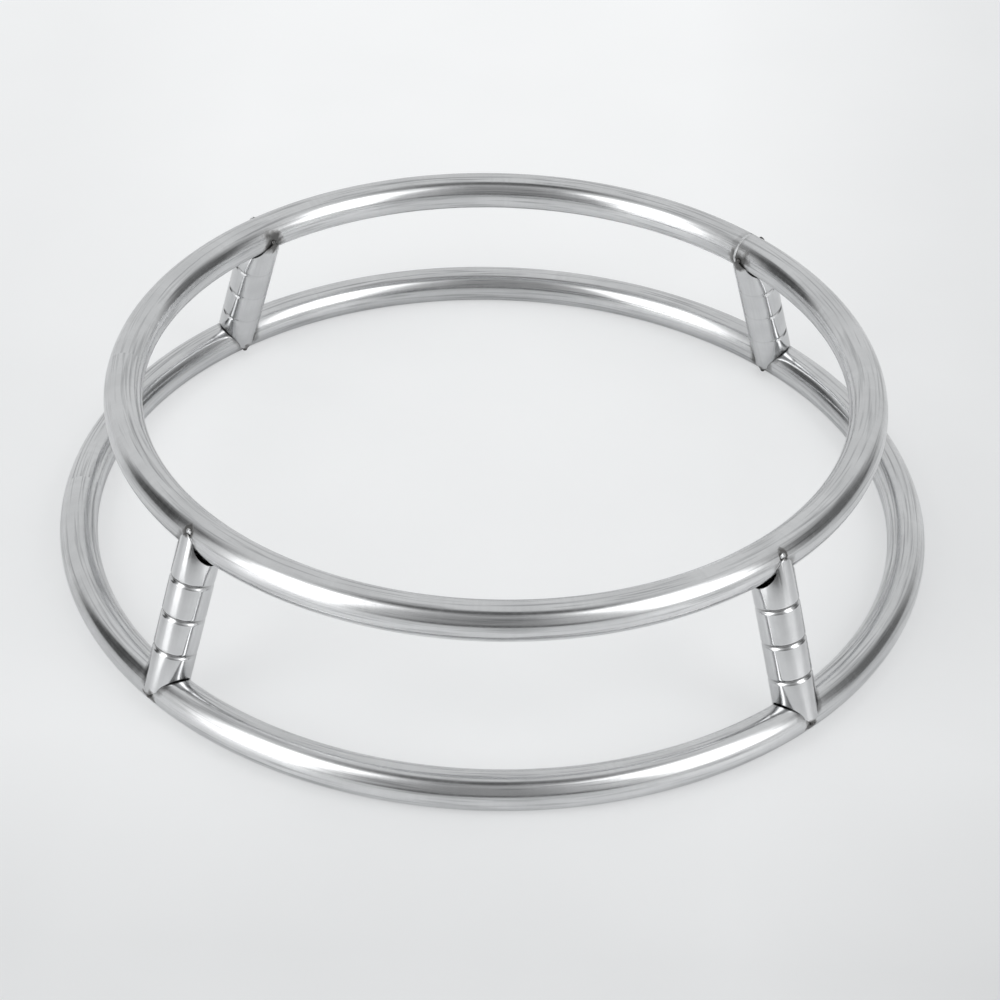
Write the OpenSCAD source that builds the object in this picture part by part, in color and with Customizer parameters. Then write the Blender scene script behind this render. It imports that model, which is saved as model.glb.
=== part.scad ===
// Wok ring: a narrow and a wide ring of round steel tube, held apart by four leaning struts.
// Millimetres. +Z is up. The origin is on the hob, under the middle of the rings.
// The front of the ring is towards -Y.

/* [Rings] */
// Diameter of the round tube that both rings are bent from
tube_d = 10; // [8:0.5:14]
// Wall thickness of that tube
tube_wall = 0.8; // [0.5:0.1:1.5]
// Outside diameter of the wide ring that stands on the hob
foot_ring_d = 232; // [190:1:300]
// Outside diameter of the narrow ring that carries the wok
seat_ring_d = 204; // [170:1:230]
// Height from the hob to the top of the narrow ring
ring_height = 51; // [46:1:80]

/* [Struts] */
// Angle from +X to the first strut, the others follow at quarter turns
strut_angle = 45; // [0:1:89]
// Wall thickness of the strut tube
strut_wall = 0.5; // [0.4:0.05:1]
// How far the strut's bore clears the ring tube, on each side
bore_play = 0.1; // [0.08:0.01:0.3]
// How far the inside of a lobe clears the ring tube
lobe_gap = 0.05; // [0.04:0.01:0.07]
// Gap under the narrow ring, at the bottom of the strut's fish mouth
seat_notch_gap = 1; // [0.2:0.1:2]
// Gap over the wide ring, at the bottom of the strut's fish mouth
foot_notch_gap = 0.4; // [0.2:0.1:2]

/* [Lobes] */
// How far the lobes wrap round the narrow ring, in degrees past the tube's middle
seat_wrap = 9; // [6:1:20]
// How far the lobes wrap round the wide ring
foot_wrap = 14; // [6:1:20]
// Width that is left at the tip of a lobe
lobe_tip_w = 0.9; // [0.4:0.1:2]
// Angle between a lobe's edges and the strut's length
lobe_slope = 45; // [38:1:52]

/* [Grooves] */
// Number of grooves round each strut
groove_count = 3; // [1:1:3]
// Distance from one groove to the next
groove_pitch = 9.8; // [6:0.2:10.4]
// How far the middle groove lies below the middle of the strut
groove_drop = 0.4; // [0:0.1:1]
// Depth of a groove on the outer side of the strut
groove_outer_depth = 0.45; // [0.3:0.05:0.6]
// Depth of a groove on the inner side, where it fades out
groove_inner_depth = 0.08; // [0.05:0.01:0.3]
// Radius of the groove's round section
groove_r = 1.1; // [0.8:0.1:2]

/* [Welds] */
// Angle from +X to the closing weld of the narrow ring
seam_angle = 46; // [0:1:359]
// Length of the closing weld along the ring
seam_w = 0.8; // [0.4:0.1:2]
// Radius of the tack weld on an outer lobe at the narrow ring
seat_outer_bead_r = 0.9; // [0.75:0.05:1.2]
// Radius of the tack weld on an inner lobe at the narrow ring
seat_inner_bead_r = 0.8; // [0.7:0.05:1.1]
// Radius of the tack welds at the wide ring
foot_bead_r = 0.75; // [0.65:0.05:1]
// How far a tack weld clears the ring tube that it lies on
bead_gap = 0.02; // [0.01:0.01:0.05]

/* [Hidden] */
$fn = 64;

steel = [0.78, 0.79, 0.80];
weld_steel = [0.50, 0.48, 0.46];
ring_fn = 180;
weld_fn = 144; // the small pieces need finer facets
room_turn = 8; // how much of a ring's turn is cut out of a tack weld
room_fn = 1080;

tube_r = tube_d / 2;
foot_r = foot_ring_d / 2 - tube_r; // middle line of the wide ring
seat_r = seat_ring_d / 2 - tube_r; // middle line of the narrow ring
foot_z = tube_r;
seat_z = ring_height - tube_r;

// A strut runs from middle line to middle line and leans inwards on its way up.
strut_len = sqrt((foot_r - seat_r) ^ 2 + (seat_z - foot_z) ^ 2);
lean = atan2(foot_r - seat_r, seat_z - foot_z);
bore_r = tube_r + bore_play;
strut_r = bore_r + strut_wall;
slot_r = tube_r + lobe_gap;
past = strut_r; // how far a cutter runs past what it cuts

// Place of each strut, in quarter turns from strut_angle
rear_right = 0;
rear_left = 1;
front_left = 2;
front_right = 3;

// Each end of a strut: how far up it lies, and the turn that makes +Z point out of the end
seat_end = [strut_len, 0];
foot_end = [0, 180];

// The rings that cut the grooves sit off the strut's axis, so a groove fades on the inner side.
groove_shift = (groove_outer_depth - groove_inner_depth) / 2;
groove_mid_depth = (groove_outer_depth + groove_inner_depth) / 2;
groove_mid_z = strut_len / 2 - groove_drop;

// Angle that the closing weld takes up on the narrow ring
seam_turn = seam_w / seat_r * 180 / PI;

// A strut's own axes: +X points out of the ring, +Z runs up the strut from the wide ring.
module at_strut(quarter) {
    rotate([0, 0, strut_angle + 90 * quarter])
        translate([foot_r, 0, foot_z])
            rotate([0, -lean, 0])
                children();
}

// A lobe's own axes: +X points out through the lobe, +Z runs past the end of the strut, and the
// origin is on the middle line of the ring tube. side is "outer" or "inner".
module at_lobe(end, side) {
    translate([0, 0, end[0]])
        rotate([end[1], 0, side == "inner" ? 180 : 0])
            children();
}

// The tube of a ring, as a full turn or as a part of one
module ring_tube(mid_r, mid_z, start, turn) {
    translate([0, 0, mid_z])
        rotate([0, 0, start])
            rotate_extrude(angle = turn, $fn = ring_fn)
                translate([mid_r, 0])
                    difference() {
                        circle(tube_r);
                        circle(tube_r - tube_wall);
                    }
}

// All the room that a ring takes up beside a strut and its gap to the welds that lie on it
module ring_room(quarter, mid_r, mid_z) {
    translate([0, 0, mid_z])
        rotate([0, 0, strut_angle + 90 * quarter - room_turn / 2])
            rotate_extrude(angle = room_turn, $fn = room_fn)
                translate([mid_r, 0])
                    circle(tube_r + bead_gap, $fn = weld_fn);
}

module seat_ring() {
    color(steel)
        ring_tube(seat_r, seat_z, seam_angle + seam_turn / 2, 360 - seam_turn);
}

module seat_ring_seam_weld() {
    color(weld_steel)
        ring_tube(seat_r, seat_z, seam_angle - seam_turn / 2, seam_turn);
}

module foot_ring() {
    color(steel)
        ring_tube(foot_r, foot_z, 0, 360);
}

// A rod with the grooves sunk in it. The strut's bore is cut with one too, with its grooves
// as much wider as the wall is thick, so the wall stays even round a groove.
module grooved_rod(rod_r, section_r, extra) {
    difference() {
        translate([0, 0, -extra])
            cylinder(r = rod_r, h = strut_len + 2 * extra);
        for (i = [0 : groove_count - 1])
            translate([-groove_shift, 0, groove_mid_z + (i - (groove_count - 1) / 2) * groove_pitch])
                rotate_extrude()
                    translate([strut_r + groove_r - groove_mid_depth, 0])
                        circle(section_r);
    }
}

// What the ring tube takes out of the end of a strut. The slot's bottom is round, and lies
// a gap deeper than the tube does.
module fish_mouth(notch_gap) {
    rotate([90, 0, 0])
        linear_extrude(2 * past + 2 * strut_r, center = true)
            translate([0, -notch_gap]) {
                circle(slot_r);
                translate([-slot_r, 0])
                    square([2 * slot_r, notch_gap + past]);
            }
}

// The part of a lobe that wraps past the tube's middle: the strut's wall outside the slot,
// turned about the tube's middle line
module lobe(wrap) {
    rotate([90, 0, 0])
        rotate_extrude(angle = wrap, $fn = weld_fn)
            difference() {
                circle(strut_r, $fn = weld_fn);
                circle(bore_r, $fn = weld_fn);
                translate([-strut_r, -strut_r])
                    square([strut_r + slot_r, 2 * strut_r]);
            }
}

// The outline of a strut seen from outside the ring: both ends narrow to the tips of the lobes
module strut_outline() {
    tip_y = lobe_tip_w / 2;
    side_y = tip_y + strut_r;
    seat_tip_z = strut_len + strut_r * sin(seat_wrap);
    foot_tip_z = -strut_r * sin(foot_wrap);
    slope_h = strut_r / tan(lobe_slope);
    rotate([90, 0, 90])
        linear_extrude(4 * strut_r, center = true)
            polygon([
                [-tip_y, foot_tip_z], [tip_y, foot_tip_z],
                [side_y, foot_tip_z + slope_h], [side_y, seat_tip_z - slope_h],
                [tip_y, seat_tip_z], [-tip_y, seat_tip_z],
                [-side_y, seat_tip_z - slope_h], [-side_y, foot_tip_z + slope_h],
            ]);
}

module strut(quarter) {
    color(steel)
        at_strut(quarter)
            intersection() {
                union() {
                    difference() {
                        grooved_rod(strut_r, groove_r, 0);
                        grooved_rod(bore_r, groove_r + strut_wall, past);
                        at_lobe(seat_end, "outer") fish_mouth(seat_notch_gap);
                        at_lobe(foot_end, "outer") fish_mouth(foot_notch_gap);
                    }
                    at_lobe(seat_end, "outer") lobe(seat_wrap);
                    at_lobe(seat_end, "inner") lobe(seat_wrap);
                    at_lobe(foot_end, "outer") lobe(foot_wrap);
                    at_lobe(foot_end, "inner") lobe(foot_wrap);
                }
                strut_outline();
            }
}

// A bead of weld metal that lies on the ring tube and holds the tip of a lobe. Its middle is
// half its radius past the tip.
module tack_weld(quarter, end, side, bead_r) {
    wrap = end == seat_end ? seat_wrap : foot_wrap;
    rise = wrap + asin(bead_r / 2 / bore_r);
    color(weld_steel)
        difference() {
            at_strut(quarter)
                at_lobe(end, side)
                    rotate([0, -rise, 0])
                        translate([bore_r, 0, 0])
                            sphere(bead_r, $fn = weld_fn);
            at_strut(quarter)
                intersection() {
                    at_lobe(end, side) {
                        lobe(wrap);
                        translate([0, 0, -past])
                            cylinder(r = strut_r, h = past, $fn = weld_fn);
                    }
                    strut_outline();
                }
            if (end == seat_end)
                ring_room(quarter, seat_r, seat_z);
            else
                ring_room(quarter, foot_r, foot_z);
        }
}

module seat_outer_weld(quarter) {
    tack_weld(quarter, seat_end, "outer", seat_outer_bead_r);
}

module seat_inner_weld(quarter) {
    tack_weld(quarter, seat_end, "inner", seat_inner_bead_r);
}

module foot_outer_weld(quarter) {
    tack_weld(quarter, foot_end, "outer", foot_bead_r);
}

module foot_inner_weld(quarter) {
    tack_weld(quarter, foot_end, "inner", foot_bead_r);
}

seat_ring();
foot_ring();
seat_ring_seam_weld();
strut(front_left);  // strut_front_left
strut(front_right);  // strut_front_right
strut(rear_left);  // strut_rear_left
strut(rear_right);  // strut_rear_right
seat_outer_weld(front_left);  // seat_outer_weld_front_left
seat_outer_weld(front_right);  // seat_outer_weld_front_right
seat_outer_weld(rear_left);  // seat_outer_weld_rear_left
seat_outer_weld(rear_right);  // seat_outer_weld_rear_right
seat_inner_weld(front_left);  // seat_inner_weld_front_left
seat_inner_weld(front_right);  // seat_inner_weld_front_right
seat_inner_weld(rear_left);  // seat_inner_weld_rear_left
seat_inner_weld(rear_right);  // seat_inner_weld_rear_right
foot_outer_weld(front_left);  // foot_outer_weld_front_left
foot_outer_weld(front_right);  // foot_outer_weld_front_right
foot_outer_weld(rear_left);  // foot_outer_weld_rear_left
foot_outer_weld(rear_right);  // foot_outer_weld_rear_right
foot_inner_weld(front_left);  // foot_inner_weld_front_left
foot_inner_weld(front_right);  // foot_inner_weld_front_right
foot_inner_weld(rear_left);  // foot_inner_weld_rear_left
foot_inner_weld(rear_right);  // foot_inner_weld_rear_right
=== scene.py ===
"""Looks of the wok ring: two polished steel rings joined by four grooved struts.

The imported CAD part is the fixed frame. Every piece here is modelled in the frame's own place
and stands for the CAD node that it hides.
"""

import math

import bpy
from mathutils import Matrix, Vector


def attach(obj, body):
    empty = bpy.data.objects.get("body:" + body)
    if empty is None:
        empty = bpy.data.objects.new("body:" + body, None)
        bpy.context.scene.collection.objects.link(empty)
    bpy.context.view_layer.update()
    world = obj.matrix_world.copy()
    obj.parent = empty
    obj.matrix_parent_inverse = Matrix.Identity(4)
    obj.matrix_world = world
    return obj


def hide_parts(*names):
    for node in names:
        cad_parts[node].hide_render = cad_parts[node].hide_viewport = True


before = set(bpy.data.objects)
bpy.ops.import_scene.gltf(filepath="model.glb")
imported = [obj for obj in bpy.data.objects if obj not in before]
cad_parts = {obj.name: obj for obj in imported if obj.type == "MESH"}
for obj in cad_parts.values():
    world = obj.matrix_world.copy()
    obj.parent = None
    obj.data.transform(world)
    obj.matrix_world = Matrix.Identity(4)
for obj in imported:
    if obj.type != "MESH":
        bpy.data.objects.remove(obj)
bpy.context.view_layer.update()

MM = 0.001
TAU = 2 * math.pi

# Sizes of the object. The tube is a hair thinner than the CAD one, whose facets are coarser, so
# that it stays inside its box.
TUBE_R = 4.97 * MM
FOOT_RING_R = 111 * MM
SEAT_RING_R = 97 * MM
FOOT_Z = 5 * MM
SEAT_Z = 46 * MM
STRUT_R = 5.6 * MM
STRUT_WALL = 0.5 * MM
SLOT_R = 5.05 * MM
SEAT_NOTCH_GAP = 1 * MM
FOOT_NOTCH_GAP = 0.4 * MM
SEAT_WRAP = math.radians(9)
FOOT_WRAP = math.radians(14)
LOBE_TIP_W = 0.9 * MM
LOBE_SLOPE = math.radians(45)
GROOVE_COUNT = 3
GROOVE_PITCH = 9.8 * MM
GROOVE_DROP = 0.4 * MM
GROOVE_OUTER_DEPTH = 0.45 * MM
GROOVE_INNER_DEPTH = 0.08 * MM
GROOVE_HALF_W = 0.95 * MM
GROOVE_SHARPNESS = 1.4
SEAM_ANGLE = math.radians(46)
SEAM_W = 0.8 * MM
SEAM_DRAWN_IN = 0.997
STRUT_EDGE_BEVEL = 0.07 * MM
BEAD_WIDTH = 0.95
BEAD_LUMPS = 0.05 * MM
BEAD_SEED = 7
OBJECT_MIDDLE_Z = 25.5 * MM

# Place of each strut as its angle round the rings
FIRST_STRUT = math.radians(45)
STRUT_ANGLES = {
    "rear_right": FIRST_STRUT,
    "rear_left": math.radians(135),
    "front_left": math.radians(225),
    "front_right": math.radians(315),
}

STRUT_LEN = math.hypot(FOOT_RING_R - SEAT_RING_R, SEAT_Z - FOOT_Z)
LEAN = math.atan2(FOOT_RING_R - SEAT_RING_R, SEAT_Z - FOOT_Z)

# Each tack weld: end of the strut, side of the strut, radius of its bead and its flatness
WELDS = {
    "seat_outer": ("seat", "outer", 0.9 * MM, 0.42),
    "seat_inner": ("seat", "inner", 0.8 * MM, 0.8),
    "foot_outer": ("foot", "outer", 0.75 * MM, 0.9),
    "foot_inner": ("foot", "inner", 0.75 * MM, 0.9),
}

# How finely the pieces are divided
RING_STEPS = 480
RING_SIDES = 64
STRUT_SIDES = 144
LOBE_ROWS = 4
SEAM_STEPS = 4
GROOVE_HALF_ROWS = 5

# How near two places have to be to count as one
MERGE_DISTANCE = 0.00001 * MM
SAME_POINT = 0.001 * MM
SAME_ROW = 0.01 * MM
SAME_EDGE = 0.05 * MM

# Edges that turn by less than this are shaded smooth
SMOOTH_ANGLE = math.radians(40)
BEAD_SMOOTH_ANGLE = math.radians(60)


def start_edit():
    """Opens edit mode on the active mesh with nothing selected."""
    bpy.ops.object.mode_set(mode="EDIT")
    bpy.ops.mesh.select_mode(type="VERT")
    bpy.ops.mesh.select_all(action="DESELECT")


def end_edit():
    bpy.ops.object.mode_set(mode="OBJECT")


def select_points(piece, wanted):
    """Selects the points of the mesh in edit mode whose place passes the test."""
    bpy.ops.mesh.select_all(action="DESELECT")
    bpy.ops.object.mode_set(mode="OBJECT")
    for point in piece.data.vertices:
        point.select = wanted(point.co)
    bpy.ops.object.mode_set(mode="EDIT")


def select_only(piece):
    bpy.ops.object.select_all(action="DESELECT")
    piece.select_set(True)
    bpy.context.view_layer.objects.active = piece


def named(name):
    piece = bpy.context.object
    piece.name = name
    piece.data.name = name
    return piece


def apply_place(piece):
    select_only(piece)
    bpy.ops.object.transform_apply(location=True, rotation=True, scale=True)


def apply_modifier(piece, kind, **settings):
    """Adds a modifier with the settings given and applies it."""
    select_only(piece)
    modifier = piece.modifiers.new(kind, kind)
    for key, value in settings.items():
        setattr(modifier, key, value)
    bpy.ops.object.modifier_apply(modifier=modifier.name)


def smooth(piece, angle=SMOOTH_ANGLE):
    select_only(piece)
    bpy.ops.object.shade_smooth_by_angle(angle=angle)


def close_mesh():
    """Merges doubles, closes open ends and turns the faces of the mesh outwards, in edit mode."""
    bpy.ops.mesh.select_all(action="SELECT")
    bpy.ops.mesh.remove_doubles(threshold=MERGE_DISTANCE)
    bpy.ops.mesh.fill_holes(sides=0)
    bpy.ops.mesh.select_all(action="SELECT")
    bpy.ops.mesh.normals_make_consistent(inside=False)


def ring(name, mid_r, mid_z, start, turn, steps):
    """A tube ring, or a part of one, from a circle spun round the upright axis.

    The spin turns clockwise for a positive angle, so its angle is negated.
    """
    bpy.ops.object.select_all(action="DESELECT")
    bpy.ops.mesh.primitive_circle_add(
        vertices=RING_SIDES,
        radius=TUBE_R,
        location=(mid_r, 0, mid_z),
        rotation=(math.radians(90), 0, 0),
    )
    piece = named(name)
    apply_place(piece)
    piece.rotation_euler = (0, 0, start)
    apply_place(piece)
    start_edit()
    bpy.ops.mesh.select_all(action="SELECT")
    bpy.ops.mesh.spin(steps=steps, angle=-turn, center=(0, 0, 0), axis=(0, 0, 1))
    close_mesh()
    end_edit()
    smooth(piece)
    return piece


def foot_ring():
    return ring("foot_ring_tube", FOOT_RING_R, FOOT_Z, 0, TAU, RING_STEPS)


def seat_ring():
    """The narrow ring, open where its closing weld lies."""
    seam_turn = SEAM_W / SEAT_RING_R
    start = SEAM_ANGLE + seam_turn / 2
    return ring("seat_ring_tube", SEAT_RING_R, SEAT_Z, start, TAU - seam_turn, RING_STEPS)


def seam_weld():
    """The closing weld: a narrow band, drawn in a little along both of its edges."""
    seam_turn = SEAM_W / SEAT_RING_R
    start = SEAM_ANGLE - seam_turn / 2
    piece = ring("seat_ring_seam", SEAT_RING_R, SEAT_Z, start, seam_turn, SEAM_STEPS)
    start_edit()
    for angle in (start, start + seam_turn):
        along = Vector((-math.sin(angle), math.cos(angle), 0))
        middle = Vector((math.cos(angle), math.sin(angle), 0)) * SEAT_RING_R
        middle.z = SEAT_Z
        select_points(piece, lambda co: abs((co - middle).dot(along)) < SAME_EDGE)
        bpy.ops.transform.resize(value=(SEAM_DRAWN_IN,) * 3, center_override=middle)
    end_edit()
    return piece


def groove_rows():
    """Heights of the rows that make the grooves, each with how deep it lies from 0 to 1."""
    rows = []
    for groove in range(GROOVE_COUNT):
        mid_z = STRUT_LEN / 2 - GROOVE_DROP + (groove - (GROOVE_COUNT - 1) / 2) * GROOVE_PITCH
        for row in range(-GROOVE_HALF_ROWS, GROOVE_HALF_ROWS + 1):
            step = row / GROOVE_HALF_ROWS
            depth = (1 + math.cos(math.pi * step)) / 2
            rows.append((mid_z + step * GROOVE_HALF_W, depth ** GROOVE_SHARPNESS))
    return rows


def cut_row(height):
    bpy.ops.mesh.select_all(action="SELECT")
    bpy.ops.mesh.bisect(plane_co=(0, 0, height), plane_no=(0, 0, 1))


def sink_grooves(piece):
    """Draws in each groove's rows: deep on the outer side, and hardly at all on the inner."""
    for height, _ in groove_rows():
        cut_row(height)
    shift = (GROOVE_OUTER_DEPTH - GROOVE_INNER_DEPTH) / 2
    mid_depth = (GROOVE_OUTER_DEPTH + GROOVE_INNER_DEPTH) / 2
    for height, depth in groove_rows():
        size = 1 - depth * mid_depth / STRUT_R
        select_points(piece, lambda co: abs(co.z - height) < SAME_ROW)
        bpy.ops.transform.resize(value=(size, size, 1), center_override=(0, 0, height))
        bpy.ops.transform.translate(value=(-depth * shift, 0, 0))


def lobe_half_width(wrap):
    """Half the width of a lobe at the level of the ring tube's middle."""
    return LOBE_TIP_W / 2 + STRUT_R * math.sin(wrap) * math.tan(LOBE_SLOPE)


def cut_mouth(piece, end_z, inwards, notch_gap, wrap):
    """Draws an end of the strut back to its fish mouth and to the edges of its two lobes."""
    lobe_half_w = lobe_half_width(wrap)
    for side in range(STRUT_SIDES // 4 + 1):
        x = STRUT_R * math.cos(TAU * side / STRUT_SIDES)
        y = STRUT_R * math.sin(TAU * side / STRUT_SIDES)
        if y < lobe_half_w:
            continue
        drop = (y - lobe_half_w) / math.tan(LOBE_SLOPE)
        if x < SLOT_R:
            drop = max(drop, notch_gap + math.sqrt(SLOT_R ** 2 - x ** 2))
        select_points(
            piece,
            lambda co: abs(abs(co.x) - x) < SAME_POINT and abs(co.z - end_z) < SAME_POINT,
        )
        bpy.ops.transform.translate(value=(0, 0, inwards * drop))


def draw_lobe(piece, end_z, past, side, wrap):
    """Bends the tongue left beside the mouth on round the ring tube, down to a narrow tip."""
    lobe_half_w = lobe_half_width(wrap)
    select_points(
        piece,
        lambda co: co.x * side > 0
        and abs(co.y) < lobe_half_w
        and abs(co.z - end_z) < SAME_POINT,
    )
    widest = max(abs(p.co.y) for p in piece.data.vertices if p.select)
    middle = (0, 0, end_z)
    bpy.ops.transform.resize(value=(1, lobe_half_w / widest, 1), center_override=middle)
    half_w = lobe_half_w
    for row in range(LOBE_ROWS):
        next_half_w = lobe_half_w + (LOBE_TIP_W / 2 - lobe_half_w) * (row + 1) / LOBE_ROWS
        bpy.ops.mesh.extrude_edges_move()
        turn = past * side * wrap / LOBE_ROWS
        bpy.ops.transform.rotate(value=turn, orient_axis="Y", center_override=middle)
        bpy.ops.transform.resize(value=(1, next_half_w / half_w, 1), center_override=middle)
        half_w = next_half_w


def strut():
    """One strut at its own axes: +X points out of the ring, +Z runs up from the wide ring."""
    bpy.ops.object.select_all(action="DESELECT")
    bpy.ops.mesh.primitive_cylinder_add(
        vertices=STRUT_SIDES,
        radius=STRUT_R,
        depth=STRUT_LEN,
        end_fill_type="NOTHING",
        location=(0, 0, STRUT_LEN / 2),
        rotation=(0, 0, math.radians(90)),
    )
    piece = named("strut_tube")
    apply_place(piece)
    start_edit()
    sink_grooves(piece)
    cut_mouth(piece, STRUT_LEN, -1, SEAT_NOTCH_GAP, SEAT_WRAP)
    cut_mouth(piece, 0, 1, FOOT_NOTCH_GAP, FOOT_WRAP)
    for side in (1, -1):
        draw_lobe(piece, STRUT_LEN, 1, side, SEAT_WRAP)
        draw_lobe(piece, 0, -1, side, FOOT_WRAP)
    bpy.ops.mesh.select_all(action="SELECT")
    bpy.ops.mesh.normals_make_consistent(inside=False)
    end_edit()
    apply_modifier(piece, "SOLIDIFY", thickness=STRUT_WALL, offset=-1, use_even_offset=True)
    apply_modifier(
        piece,
        "BEVEL",
        width=STRUT_EDGE_BEVEL,
        segments=2,
        limit_method="ANGLE",
        angle_limit=math.radians(50),
    )
    smooth(piece)
    return piece


def strut_place(angle):
    """Where a strut's own axes lie for a strut at this angle round the rings."""
    return (
        Matrix.Rotation(angle, 4, "Z")
        @ Matrix.Translation((FOOT_RING_R, 0, FOOT_Z))
        @ Matrix.Rotation(-LEAN, 4, "Y")
    )


def bead_middle(end, side, bead_r):
    """Middle of a tack weld at the strut's own axes, half its radius past the lobe's tip."""
    mid_r = STRUT_R - STRUT_WALL
    wrap = SEAT_WRAP if end == "seat" else FOOT_WRAP
    rise = wrap + math.asin(bead_r / 2 / mid_r)
    out = 1 if side == "outer" else -1
    past = 1 if end == "seat" else -1
    end_z = STRUT_LEN if end == "seat" else 0
    return Vector((out * mid_r * math.cos(rise), 0, end_z + past * mid_r * math.sin(rise)))


def weld_bead(name, end, side, bead_r, flatness):
    """A lumpy bead of weld metal at the tip of a lobe, at the strut's own axes."""
    middle = bead_middle(end, side, bead_r)
    bpy.ops.object.select_all(action="DESELECT")
    bpy.ops.mesh.primitive_ico_sphere_add(subdivisions=3, radius=bead_r, location=middle)
    piece = named(name)
    apply_place(piece)
    start_edit()
    bpy.ops.mesh.select_all(action="SELECT")
    bpy.ops.transform.resize(value=(flatness, 1, BEAD_WIDTH), center_override=middle)
    bpy.ops.transform.vertex_random(offset=BEAD_LUMPS, uniform=0, normal=1, seed=BEAD_SEED)
    bpy.ops.mesh.vertices_smooth(factor=0.5, repeat=1)
    end_edit()
    apply_modifier(piece, "SUBSURF", levels=1, render_levels=1)
    smooth(piece, BEAD_SMOOTH_ANGLE)
    return piece


def copy_to(piece, name, place):
    """A copy with its own mesh, with its place in the mesh."""
    copy = piece.copy()
    copy.data = piece.data.copy()
    copy.name = name
    copy.data.name = name
    bpy.context.collection.objects.link(copy)
    copy.matrix_world = place
    apply_place(copy)
    return copy


def new_material(name):
    """A new material, with its node tree and its shader."""
    material = bpy.data.materials.new(name)
    material.use_nodes = True
    tree = material.node_tree
    return material, tree, tree.nodes["Principled BSDF"]


def math_node(tree, operation, *inputs):
    """A Math node: each input is a number or the socket that feeds it."""
    node = tree.nodes.new("ShaderNodeMath")
    node.operation = operation
    for index, value in enumerate(inputs):
        if isinstance(value, (int, float)):
            node.inputs[index].default_value = value
        else:
            tree.links.new(value, node.inputs[index])
    return node.outputs[0]


def range_node(tree, value, from_low, from_high, to_low, to_high):
    """A Map Range node, which keeps its result between its last two numbers."""
    node = tree.nodes.new("ShaderNodeMapRange")
    tree.links.new(value, node.inputs["Value"])
    node.inputs["From Min"].default_value = from_low
    node.inputs["From Max"].default_value = from_high
    node.inputs["To Min"].default_value = to_low
    node.inputs["To Max"].default_value = to_high
    return node.outputs["Result"]


def noise_node(tree, vector, scale, detail):
    node = tree.nodes.new("ShaderNodeTexNoise")
    node.inputs["Scale"].default_value = scale
    node.inputs["Detail"].default_value = detail
    tree.links.new(vector, node.inputs["Vector"])
    return node.outputs["Fac"]


def mix_colours(tree, factor, first, second):
    """Mixes two colours, each a colour or the socket that feeds it."""
    node = tree.nodes.new("ShaderNodeMix")
    node.data_type = "RGBA"
    tree.links.new(factor, node.inputs["Factor"])
    for socket, value in ((node.inputs["A"], first), (node.inputs["B"], second)):
        if isinstance(value, tuple):
            socket.default_value = value
        else:
            tree.links.new(value, socket)
    return node.outputs["Result"]


def bump_node(tree, height, strength, distance, below=None):
    """A Bump node, which lies on top of the bump below it."""
    node = tree.nodes.new("ShaderNodeBump")
    node.inputs["Strength"].default_value = strength
    node.inputs["Distance"].default_value = distance
    tree.links.new(height, node.inputs["Height"])
    if below:
        tree.links.new(below, node.inputs["Normal"])
    return node.outputs["Normal"]


def join_node(tree, x, y, z):
    node = tree.nodes.new("ShaderNodeCombineXYZ")
    for index, value in enumerate((x, y, z)):
        tree.links.new(value, node.inputs[index])
    return node.outputs[0]


def split_node(tree, vector):
    node = tree.nodes.new("ShaderNodeSeparateXYZ")
    tree.links.new(vector, node.inputs[0])
    return node.outputs


def object_place(tree):
    return tree.nodes.new("ShaderNodeTexCoord").outputs["Object"]


# Colours of the steel
STEEL_PALE = (0.8, 0.805, 0.812, 1)
STEEL_GREY = (0.705, 0.71, 0.717, 1)
STEEL_LINE_AND_PAINTED_STREAK = (0.47, 0.475, 0.482, 1)
# Dark grey of heat tint, also used for the painted shade in the grooves and round the struts'
# mouths
HEAT_AND_SHADE_GREY = (0.13, 0.128, 0.125, 1)
HEAT_STRAW = (0.44, 0.435, 0.43, 1)

# Noises, each with its scale and its detail
RING_CROSS_LINES = (900, 2)
RING_LONG_LINES = (1500, 3)
RING_SMUDGES = (60, 5)
RING_WAVES = (28, 1)
STRUT_LINES = (1400, 3)
STRUT_DENTS = (230, 2)
STRUT_SMUDGES = (120, 4)
WELD_LUMPS = (900, 3)
PAPER_FIBRES = (18, 4)
PAPER_GRAIN = (1500, 2)

# How much slower a line's noise changes along the line than across it
LINE_STRETCH = 0.04
LONG_LINE_STRETCH = 0.03

# Most of a noise's values lie between these two
NOISE_LOW = 0.3
NOISE_HIGH = 0.7

# Uneven edges, each with the scale of its noise and how far it strays either way
EDGE_DETAIL = 3
TINT_EDGE = (420, 1.1 * MM)
MOUTH_EDGE = (350, 0.5 * MM)
SEAM_EDGE = (300, 1.5 * MM)

# Ranges, each with the values that it runs from and to, and what they become
SMUDGES_TO_GREY = (0.4, 0.7, 0, 1)
CROSS_LINES_TO_GREY = (0.4, 0.8, 0, 0.4)
LONG_LINES_TO_DARK = (0.5, 0.72, 0, 1)
STRUT_LINES_TO_GREY = (0.4, 0.75, 0, 0.7)
HEAT_TO_STRAW = (0, 0.4, 0, 0.7)
HEAT_TO_GREY = (0.15, 0.7, 0, 0.92)
CROSS_LINES_TO_ROUGH = (NOISE_LOW, NOISE_HIGH, 0.13, 0.19)
RING_SMUDGES_TO_ROUGH = (0.45, 0.8, 0, 0.08)
STRUT_SMUDGES_TO_ROUGH = (NOISE_LOW, NOISE_HIGH, 0.08, 0.17)
WELD_LUMPS_TO_ROUGH = (NOISE_LOW, NOISE_HIGH, 0.4, 0.2)

# Roughness that full heat tint adds
HEAT_ROUGHNESS = 0.25

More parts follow.
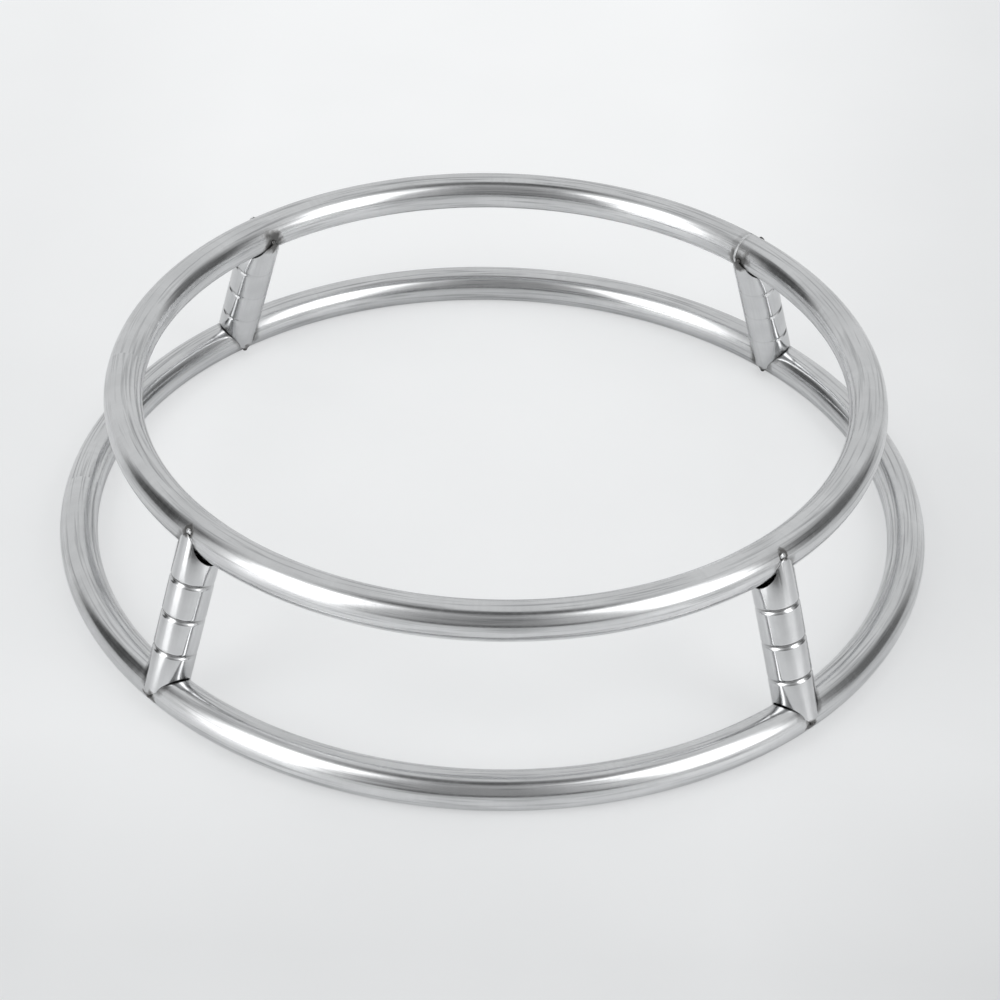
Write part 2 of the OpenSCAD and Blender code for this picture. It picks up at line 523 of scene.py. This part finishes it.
# Bumps, each with its strength and its depth
RING_WAVES_BUMP = (0.5, 0.5 * MM)
RING_LONG_LINES_BUMP = (0.12, 0.02 * MM)
RING_CROSS_LINES_BUMP = (0.15, 0.02 * MM)
STRUT_DENTS_BUMP = (0.3, 0.12 * MM)
STRUT_LINES_BUMP = (0.12, 0.03 * MM)
WELD_LUMPS_BUMP = (0.6, 0.2 * MM)
PAPER_GRAIN_BUMP = (0.1, 0.05 * MM)

# How far the heat tint reaches from the middle of each kind of tack weld, and the share of that
# reach within which it is full
TINT_REACH = {
    ("seat", "outer"): 1.9 * MM,
    ("seat", "inner"): 4.2 * MM,
    ("foot", "outer"): 2.4 * MM,
    ("foot", "inner"): 2.6 * MM,
}
TINT_CORE = 0.3

# Painted contact shade, with a little soot, on the rings round the mouths of the struts: how dark,
# how wide and how soft at its ends
MOUTH_SHADE_AND_SOOT = 0.6
MOUTH_SHADE_WIDTH = 0.9 * MM
MOUTH_SHADE_FADE = 0.5 * MM

# The painted shade line in each groove: how dark it is, how far over the groove's middle it lies,
# and how far from there it ends and is full. On the inner side only a share of it is left, up to
# GROOVE_INNER_END out from the strut's middle line, and it is whole from GROOVE_OUTER_START on.
GROOVE_PAINTED_SHADE = 0.75
GROOVE_LINE_RISE = 0.2 * MM
GROOVE_LINE_END = 0.5 * MM
GROOVE_LINE_CORE = 0.15 * MM
GROOVE_INNER_SHARE = 0.12
GROOVE_INNER_END = -0.4 * STRUT_R
GROOVE_OUTER_START = 0.3 * STRUT_R

# The heat mark of the closing weld: how dark it is, and how far from the seam it ends and is full.
# Further in from the ring's outside than SEAM_INNER_DEPTH only a share of it is left, and it is
# whole within SEAM_OUTER_DEPTH.
SEAM_SOOT = 0.8
SEAM_MARK_END = 1.6 * MM
SEAM_MARK_CORE = 0.3 * MM
SEAM_INNER_SHARE = 0.25
SEAM_INNER_DEPTH = 4.5 * MM
SEAM_OUTER_DEPTH = 2 * MM

# The value of its lumps below which weld metal is dark, and how softly it turns bright
BRIGHT_WELD_DARK_BELOW = 0.38
DARK_WELD_DARK_BELOW = 0.75
WELD_SOFTNESS = 0.1


def ring_places(tree):
    """Where a point lies on the rings, from its object coordinates.

    Gives the place itself, the angle round the rings, the reach out from their axis, the
    height, and the distance round the rings from the middle of the nearest strut.
    """
    place = object_place(tree)
    x, y, height = split_node(tree, place)
    angle = math_node(tree, "ARCTAN2", y, x)
    x_squared = math_node(tree, "MULTIPLY", x, x)
    y_squared = math_node(tree, "MULTIPLY", y, y)
    reach = math_node(tree, "SQRT", math_node(tree, "ADD", x_squared, y_squared))
    from_axis = math_node(tree, "PINGPONG", angle, FIRST_STRUT)
    to_strut = math_node(tree, "SUBTRACT", FIRST_STRUT, from_axis)
    aside = math_node(tree, "MULTIPLY", to_strut, reach)
    return place, angle, reach, height, aside


def uneven_edge(tree, place, scale, stray):
    """How far an uneven edge strays at a point."""
    noise = noise_node(tree, place, scale, EDGE_DETAIL)
    return range_node(tree, noise, NOISE_LOW, NOISE_HIGH, -stray, stray)


def nearness(tree, places, middle, reach_of_it, uneven):
    """How near a point is to a tack weld: 1 close to its middle, down to 0 at the reach given."""
    _, _, reach, height, aside = places
    out = math_node(tree, "SUBTRACT", reach, middle.x)
    up = math_node(tree, "SUBTRACT", height, middle.z)
    length = tree.nodes.new("ShaderNodeVectorMath")
    length.operation = "LENGTH"
    tree.links.new(join_node(tree, aside, out, up), length.inputs[0])
    distance = math_node(tree, "ADD", length.outputs["Value"], uneven)
    return range_node(tree, distance, reach_of_it, TINT_CORE * reach_of_it, 0, 1)


def weld_shade(tree, places):
    """How much the heat and soot of the tack welds darken a point, from 0 to 1."""
    uneven = uneven_edge(tree, places[0], *TINT_EDGE)
    shade = None
    for end, side, bead_r, _ in WELDS.values():
        middle = strut_place(0) @ bead_middle(end, side, bead_r)
        near = nearness(tree, places, middle, TINT_REACH[(end, side)], uneven)
        shade = math_node(tree, "MAXIMUM", shade, near) if shade else near
    return shade


def strut_distance(tree, places):
    """Where a point lies from the middle line of the nearest strut.

    Gives its distance from that line, how far up along it it is, and how far outwards.
    """
    _, _, reach, height, aside = places
    out = math_node(tree, "SUBTRACT", reach, FOOT_RING_R)
    up = math_node(tree, "SUBTRACT", height, FOOT_Z)
    cos_out = math_node(tree, "MULTIPLY", out, math.cos(LEAN))
    off = math_node(tree, "MULTIPLY_ADD", up, math.sin(LEAN), cos_out)
    sin_out = math_node(tree, "MULTIPLY", out, -math.sin(LEAN))
    along = math_node(tree, "MULTIPLY_ADD", up, math.cos(LEAN), sin_out)
    aside_squared = math_node(tree, "MULTIPLY", aside, aside)
    squared = math_node(tree, "MULTIPLY_ADD", off, off, aside_squared)
    return math_node(tree, "SQRT", squared), along, off


def mouth_shade(tree, places):
    """Painted contact shade, with a little soot, on a ring close round the mouths of the struts,
    from 0 to 1.
    """
    distance, along, _ = strut_distance(tree, places)
    uneven = math_node(tree, "ADD", distance, uneven_edge(tree, places[0], *MOUTH_EDGE))
    close = range_node(tree, uneven, STRUT_R + MOUTH_SHADE_WIDTH, STRUT_R, 0, 1)
    over_foot = range_node(tree, along, -MOUTH_SHADE_FADE, MOUTH_SHADE_FADE, 0, 1)
    seat_fade = (STRUT_LEN + MOUTH_SHADE_FADE, STRUT_LEN - MOUTH_SHADE_FADE)
    under_seat = range_node(tree, along, *seat_fade, 0, 1)
    between = math_node(tree, "MULTIPLY", over_foot, under_seat)
    return math_node(tree, "MULTIPLY", close, between)


def groove_shade(tree, places):
    """The painted shade line along the upper half of each groove, faint on the inner side, up to
    1.
    """
    _, along, off = strut_distance(tree, places)
    half_span = (GROOVE_COUNT - 1) / 2 * GROOVE_PITCH
    lowest = STRUT_LEN / 2 - GROOVE_DROP - half_span + GROOVE_LINE_RISE
    from_lowest = math_node(tree, "SUBTRACT", along, lowest)
    in_pitch = math_node(tree, "PINGPONG", from_lowest, GROOVE_PITCH / 2)
    line = range_node(tree, in_pitch, GROOVE_LINE_END, GROOVE_LINE_CORE, 0, 1)
    first = math_node(tree, "GREATER_THAN", from_lowest, -GROOVE_PITCH / 2)
    last = math_node(tree, "LESS_THAN", from_lowest, (GROOVE_COUNT - 0.5) * GROOVE_PITCH)
    struck = math_node(tree, "MULTIPLY", first, last)
    side = range_node(tree, off, GROOVE_INNER_END, GROOVE_OUTER_START, GROOVE_INNER_SHARE, 1)
    return math_node(tree, "MULTIPLY", line, math_node(tree, "MULTIPLY", struck, side))


def seam_shade(tree, places):
    """The heat mark of the closing weld, darkest on the outer side, from 0 to 1."""
    place, angle, reach, _, _ = places
    off = math_node(tree, "SUBTRACT", angle, SEAM_ANGLE)
    away = math_node(tree, "ABSOLUTE", math_node(tree, "MULTIPLY", off, reach))
    uneven = math_node(tree, "ADD", away, uneven_edge(tree, place, *SEAM_EDGE))
    along = range_node(tree, uneven, SEAM_MARK_END, SEAM_MARK_CORE, 0, 1)
    outside = SEAT_RING_R + TUBE_R
    inner = outside - SEAM_INNER_DEPTH
    outer = outside - SEAM_OUTER_DEPTH
    side = range_node(tree, reach, inner, outer, SEAM_INNER_SHARE, 1)
    return math_node(tree, "MULTIPLY", along, side)


def heat_tinted(tree, heat, steel):
    """The steel, turned straw and then grey by the heat of the tack welds."""
    straw = mix_colours(tree, range_node(tree, heat, *HEAT_TO_STRAW), steel, HEAT_STRAW)
    return mix_colours(tree, range_node(tree, heat, *HEAT_TO_GREY), straw, HEAT_AND_SHADE_GREY)


def darkened(tree, shade, most, steel):
    """The steel, darkened towards the dark grey by the share given where the shade is 1; used for
    painted shade as well as for heat and soot marks.
    """
    return mix_colours(tree, range_node(tree, shade, 0, 1, 0, most), steel, HEAT_AND_SHADE_GREY)


def ring_steel():
    """Polished steel: fine lines across the tube, faint lines along it that are partly painted
    reflection streaks, smudges, heat tint.
    """
    material, tree, shader = new_material("ring_polished_steel")
    places = ring_places(tree)
    place, angle, reach, height, _ = places
    way_round = math_node(tree, "MULTIPLY", angle, SEAT_RING_R)
    slow_reach = math_node(tree, "MULTIPLY", reach, LINE_STRETCH)
    slow_height = math_node(tree, "MULTIPLY", height, LINE_STRETCH)
    slow_round = math_node(tree, "MULTIPLY", way_round, LONG_LINE_STRETCH)
    cross_place = join_node(tree, way_round, slow_reach, slow_height)
    long_place = join_node(tree, slow_round, reach, height)
    cross_lines = noise_node(tree, cross_place, *RING_CROSS_LINES)
    long_lines = noise_node(tree, long_place, *RING_LONG_LINES)
    smudges = noise_node(tree, place, *RING_SMUDGES)
    waves = noise_node(tree, place, *RING_WAVES)
    heat = weld_shade(tree, places)

    smudged = range_node(tree, smudges, *SMUDGES_TO_GREY)
    steel = mix_colours(tree, smudged, STEEL_PALE, STEEL_GREY)
    ruled = range_node(tree, cross_lines, *CROSS_LINES_TO_GREY)
    steel = mix_colours(tree, ruled, steel, STEEL_GREY)
    # Dark lines along the tube: partly polish lines, partly painted reflection streaks
    lined = range_node(tree, long_lines, *LONG_LINES_TO_DARK)
    steel = mix_colours(tree, lined, steel, STEEL_LINE_AND_PAINTED_STREAK)
    steel = heat_tinted(tree, heat, steel)
    # Painted contact shade round the struts' mouths, with a little soot
    steel = darkened(tree, mouth_shade(tree, places), MOUTH_SHADE_AND_SOOT, steel)
    steel = darkened(tree, seam_shade(tree, places), SEAM_SOOT, steel)
    tree.links.new(steel, shader.inputs["Base Color"])
    shader.inputs["Metallic"].default_value = 1

    rough_lines = range_node(tree, cross_lines, *CROSS_LINES_TO_ROUGH)
    rough_smudges = range_node(tree, smudges, *RING_SMUDGES_TO_ROUGH)
    rough = math_node(tree, "ADD", rough_lines, rough_smudges)
    rough = math_node(tree, "MULTIPLY_ADD", heat, HEAT_ROUGHNESS, rough)
    tree.links.new(rough, shader.inputs["Roughness"])

    bumps = bump_node(tree, waves, *RING_WAVES_BUMP)
    bumps = bump_node(tree, long_lines, *RING_LONG_LINES_BUMP, bumps)
    bumps = bump_node(tree, cross_lines, *RING_CROSS_LINES_BUMP, bumps)
    tree.links.new(bumps, shader.inputs["Normal"])
    return material


def strut_steel():
    """The struts' steel: fine lines along them, small dents from the press, heat tint."""
    material, tree, shader = new_material("strut_polished_steel")
    places = ring_places(tree)
    place, _, reach, height, aside = places
    leaning_reach = math_node(tree, "MULTIPLY", reach, math.cos(LEAN))
    out = math_node(tree, "MULTIPLY_ADD", height, math.sin(LEAN), leaning_reach)
    slow_height = math_node(tree, "MULTIPLY", height, LINE_STRETCH)
    lines = noise_node(tree, join_node(tree, aside, out, slow_height), *STRUT_LINES)
    dents = noise_node(tree, place, *STRUT_DENTS)
    smudges = noise_node(tree, place, *STRUT_SMUDGES)
    heat = weld_shade(tree, places)

    smudged = range_node(tree, smudges, *SMUDGES_TO_GREY)
    steel = mix_colours(tree, smudged, STEEL_PALE, STEEL_GREY)
    lined = range_node(tree, lines, *STRUT_LINES_TO_GREY)
    steel = mix_colours(tree, lined, steel, STEEL_GREY)
    steel = heat_tinted(tree, heat, steel)
    # Painted shade: a dark line in the upper half of each groove
    steel = darkened(tree, groove_shade(tree, places), GROOVE_PAINTED_SHADE, steel)
    tree.links.new(steel, shader.inputs["Base Color"])
    shader.inputs["Metallic"].default_value = 1

    rough = range_node(tree, smudges, *STRUT_SMUDGES_TO_ROUGH)
    rough = math_node(tree, "MULTIPLY_ADD", heat, HEAT_ROUGHNESS, rough)
    tree.links.new(rough, shader.inputs["Roughness"])

    bumps = bump_node(tree, dents, *STRUT_DENTS_BUMP)
    bumps = bump_node(tree, lines, *STRUT_LINES_BUMP, bumps)
    tree.links.new(bumps, shader.inputs["Normal"])
    return material


def weld_steel(name, dark_below):
    """Bare weld metal: bright on its lumps, and dark where they are lower."""
    material, tree, shader = new_material(name)
    lumps = noise_node(tree, object_place(tree), *WELD_LUMPS)
    dark = dark_below - WELD_SOFTNESS
    bright = dark_below + WELD_SOFTNESS
    shine = range_node(tree, lumps, dark, bright, 0, 1)
    metal = mix_colours(tree, shine, HEAT_AND_SHADE_GREY, STEEL_PALE)
    tree.links.new(metal, shader.inputs["Base Color"])
    shader.inputs["Metallic"].default_value = 1
    rough = range_node(tree, lumps, *WELD_LUMPS_TO_ROUGH)
    tree.links.new(rough, shader.inputs["Roughness"])
    bumps = bump_node(tree, lumps, *WELD_LUMPS_BUMP)
    tree.links.new(bumps, shader.inputs["Normal"])
    return material


def finish_piece(piece, node, material):
    """Gives the piece its material and puts it in the place of its CAD node."""
    piece.data.materials.clear()
    piece.data.materials.append(material)
    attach(piece, "root")
    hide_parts(node)


def build_struts(material):
    """The four struts, copied from one that is removed again."""
    pattern = strut()
    for place_name, angle in STRUT_ANGLES.items():
        copy = copy_to(pattern, "grooved_tube_" + place_name, strut_place(angle))
        finish_piece(copy, "strut_" + place_name, material)
    bpy.data.objects.remove(pattern)


def build_tack_welds(bright_weld, dark_weld):
    """The sixteen tack welds. Three of those on the outer side of the narrow ring are bright."""
    for weld_name, sizes in WELDS.items():
        pattern = weld_bead("bead_pattern", *sizes)
        for place_name, angle in STRUT_ANGLES.items():
            copy = copy_to(pattern, weld_name + "_bead_" + place_name, strut_place(angle))
            bright = weld_name == "seat_outer" and place_name != "rear_right"
            # The other tack welds, including the outer one at the rear right, get the darker weld
            # metal
            metal = bright_weld if bright else dark_weld
            finish_piece(copy, weld_name + "_weld_" + place_name, metal)
        bpy.data.objects.remove(pattern)


def build_object():
    on_rings = ring_steel()
    on_struts = strut_steel()
    bright_weld = weld_steel("bright_weld_metal", BRIGHT_WELD_DARK_BELOW)
    dark_weld = weld_steel("dark_weld_metal", DARK_WELD_DARK_BELOW)
    finish_piece(seat_ring(), "seat_ring", on_rings)
    finish_piece(foot_ring(), "foot_ring", on_rings)
    finish_piece(seam_weld(), "seat_ring_seam_weld", bright_weld)
    build_struts(on_struts)
    build_tack_welds(bright_weld, dark_weld)


# The paper floor as the camera sees it and as the steel reflects it
FLOOR_SIZE = 7
FLOOR_DROP = 0.2 * MM
FLOOR_SEEN = (0.46, 0.465, 0.47, 1)
FLOOR_REFLECTED = (0.96, 0.965, 0.97, 1)
FLOOR_SEEN_ROUGHNESS = 0.85
FLOOR_REFLECTED_ROUGHNESS = 0.25
STUDIO_WHITE = (0.985, 0.995, 1, 1)

# What the camera sees of the floor beside its lit colour: a glow, the paper's fibres, either way,
# and painted light fades, each with the axis that it runs along, where it starts and ends, and
# what it adds
FLOOR_GLOW = 0.455
FIBRE_GLOW = 0.008
FLOOR_PAINTED_LIGHT_FADES = {
    "back": ("y", -0.2, 0.32, 0.13),
    "front": ("y", -0.09, -0.16, -0.085),
    "right": ("x", 0.06, 0.16, -0.11),
    "left": ("x", -0.09, -0.15, -0.045),
}


def floor_glow(tree, place):
    """The glow of the paper that only the camera sees, with painted light fades: lighter at the
    back, darker to the front and sides.
    """
    x, y, _ = split_node(tree, place)
    fibres = noise_node(tree, place, *PAPER_FIBRES)
    uneven = range_node(tree, fibres, NOISE_LOW, NOISE_HIGH, -FIBRE_GLOW, FIBRE_GLOW)
    glow = math_node(tree, "ADD", uneven, FLOOR_GLOW)
    # Painted light: the floor is lighter towards the back and darker towards the front and sides
    for axis, start, end, added in FLOOR_PAINTED_LIGHT_FADES.values():
        fade = range_node(tree, x if axis == "x" else y, start, end, 0, added)
        glow = math_node(tree, "ADD", glow, fade)
    return glow


def floor_paper():
    """Pale paper, dimmer and rougher to the camera than in the steel's reflections."""
    material, tree, shader = new_material("floor_paper")
    place = object_place(tree)
    seen = tree.nodes.new("ShaderNodeLightPath").outputs["Is Camera Ray"]
    shades = mix_colours(tree, seen, FLOOR_REFLECTED, FLOOR_SEEN)
    tree.links.new(shades, shader.inputs["Base Color"])
    rougher = FLOOR_SEEN_ROUGHNESS - FLOOR_REFLECTED_ROUGHNESS
    rough = math_node(tree, "MULTIPLY_ADD", seen, rougher, FLOOR_REFLECTED_ROUGHNESS)
    tree.links.new(rough, shader.inputs["Roughness"])
    glow = math_node(tree, "MULTIPLY", floor_glow(tree, place), seen)
    tree.links.new(glow, shader.inputs["Emission Strength"])
    shader.inputs["Emission Color"].default_value = STUDIO_WHITE
    grain = noise_node(tree, place, *PAPER_GRAIN)
    bumps = bump_node(tree, grain, *PAPER_GRAIN_BUMP)
    tree.links.new(bumps, shader.inputs["Normal"])
    return material


def stage_floor():
    """A pale paper table top."""
    bpy.ops.object.select_all(action="DESELECT")
    bpy.ops.mesh.primitive_plane_add(size=1, location=(0, 0, -FLOOR_DROP))
    floor = named("floor")
    floor.scale = (FLOOR_SIZE, FLOOR_SIZE, 1)
    apply_place(floor)
    floor.data.materials.append(floor_paper())


# The studio round the object. Angles are in degrees: azimuth from the camera's side, to the
# right, and height over the horizon. Each patch is its middle, its half width and half height,
# its brightness beside that of the pale tent, and how soft its edge is.
TENT_BRIGHTNESS = 0.675
TENT_PATCHES = {
    "camera_gap": ((0, 26), (25, 42), 0.29, 0.5),
    "camera_foot": ((5, 0), (30, 9), 0.1, 0.4),
    "left_gap": ((-100, 16), (14, 31), 0.08, 0.35),
    "right_gap": ((107, 13), (20, 26), 0.14, 0.4),
    "roof": ((0, 77), (88, 11), 0.13, 0.4),
}

# How square the outline of a patch is, as the power of a superellipse
PATCH_POWER = 4

# Each soft box is its direction, its width and its height. Its light fades over the share of its
# width and of its height that LIGHT_EDGES gives, from each edge inwards.
SOFT_BOXES = {
    "left_box": ((-52, 29), (0.95, 1.8)),
    "right_box": ((57, 36), (0.95, 1.45)),
}
LIGHT_DISTANCE = 1.4
LIGHT_RADIANCE = 1.58
LIGHT_EDGES = (0.25, 0.14)


def patch_reach(tree, direction, middle, half_size):
    """How far a direction lies from a patch's middle, as a share of its half size."""
    powers = []
    for value, centre, half in zip(direction, middle, half_size):
        off = math_node(tree, "SUBTRACT", value, math.radians(centre))
        share = math_node(tree, "DIVIDE", off, math.radians(half))
        size = math_node(tree, "ABSOLUTE", share)
        powers.append(math_node(tree, "POWER", size, PATCH_POWER))
    return math_node(tree, "POWER", math_node(tree, "ADD", *powers), 1 / PATCH_POWER)


def tent_world():
    """A pale tent with darker gaps round the camera, to both sides and overhead."""
    world = bpy.data.worlds.new("studio_tent")
    bpy.context.scene.world = world
    world.use_nodes = True
    tree = world.node_tree
    coordinates = tree.nodes.new("ShaderNodeTexCoord")
    x, y, z = split_node(tree, coordinates.outputs["Generated"])
    azimuth = math_node(tree, "ARCTAN2", x, math_node(tree, "MULTIPLY", y, -1))
    height = math_node(tree, "ARCSINE", z)
    brightness = None
    for middle, half_size, level, edge in TENT_PATCHES.values():
        reach = patch_reach(tree, (azimuth, height), middle, half_size)
        mix = tree.nodes.new("ShaderNodeMix")
        tree.links.new(range_node(tree, reach, 1 + edge, 1 - edge, 0, 1), mix.inputs["Factor"])
        if brightness:
            tree.links.new(brightness, mix.inputs["A"])
        else:
            mix.inputs["A"].default_value = TENT_BRIGHTNESS
        mix.inputs["B"].default_value = level
        brightness = mix.outputs["Result"]
    background = tree.nodes["Background"]
    background.inputs["Color"].default_value = STUDIO_WHITE
    tree.links.new(brightness, background.inputs["Strength"])


def soft_light(name, place, target, size):
    """A rectangular light that points at the target and fades towards its edges."""
    lamp = bpy.data.lights.new(name, "AREA")
    lamp.shape = "RECTANGLE"
    lamp.size, lamp.size_y = size
    lamp.energy = LIGHT_RADIANCE * math.pi * size[0] * size[1]
    lamp.use_nodes = True
    tree = lamp.node_tree
    geometry = tree.nodes.new("ShaderNodeNewGeometry")
    fades = []
    for value, edge in zip(split_node(tree, geometry.outputs["Parametric"]), LIGHT_EDGES):
        inwards = math_node(tree, "PINGPONG", value, 0.5)
        fades.append(range_node(tree, inwards, 0, edge, 0, 1))
    strength = math_node(tree, "MULTIPLY", *fades)
    tree.links.new(strength, tree.nodes["Emission"].inputs["Strength"])
    light = bpy.data.objects.new(name, lamp)
    bpy.context.collection.objects.link(light)
    light.location = place
    light.rotation_euler = (target - place).to_track_quat("-Z", "Y").to_euler()


def soft_boxes():
    """The two tall soft boxes in front of the object, left and right of the camera."""
    for name, (direction, size) in SOFT_BOXES.items():
        azimuth, height = (math.radians(angle) for angle in direction)
        flat = LIGHT_DISTANCE * math.cos(height)
        up = LIGHT_DISTANCE * math.sin(height)
        place = Vector((flat * math.sin(azimuth), -flat * math.cos(azimuth), up))
        soft_light(name, place, Vector((0, 0, OBJECT_MIDDLE_Z)), size)


# Camera fitted to the photograph: distance, height angle, small turns, lens, and its turn round
# the object
CAMERA_DISTANCE = 757.007 * MM
CAMERA_HEIGHT_ANGLE = math.radians(36.2349)
CAMERA_YAW = -0.002268
CAMERA_PITCH = -0.018763
CAMERA_ROLL = -0.026722
CAMERA_LENS = 102.5076
CAMERA_SENSOR = 36
CAMERA_TURN = math.radians(1.35)


def stage_camera():
    """The camera, placed round the object's middle and then aimed by its small turns."""
    camera_data = bpy.data.cameras.new("camera")
    camera_data.lens = CAMERA_LENS
    camera_data.sensor_width = CAMERA_SENSOR
    camera = bpy.data.objects.new("camera", camera_data)
    bpy.context.collection.objects.link(camera)
    back = -CAMERA_DISTANCE * math.cos(CAMERA_HEIGHT_ANGLE)
    up = CAMERA_DISTANCE * math.sin(CAMERA_HEIGHT_ANGLE)
    turn = Matrix.Rotation(CAMERA_TURN, 4, "Z")
    place = Matrix.Translation((0, 0, OBJECT_MIDDLE_Z)) @ turn @ Matrix.Translation((0, back, up))
    aim = (
        Matrix.Rotation(math.radians(90) - CAMERA_HEIGHT_ANGLE, 4, "X")
        @ Matrix.Rotation(CAMERA_YAW, 4, "Y")
        @ Matrix.Rotation(CAMERA_PITCH, 4, "X")
        @ Matrix.Rotation(-CAMERA_ROLL, 4, "Z")
    )
    camera.matrix_world = place @ aim
    bpy.context.scene.camera = camera


def main():
    build_object()
    stage_floor()
    tent_world()
    soft_boxes()
    stage_camera()
    bpy.context.scene.view_settings.view_transform = "Standard"


main()
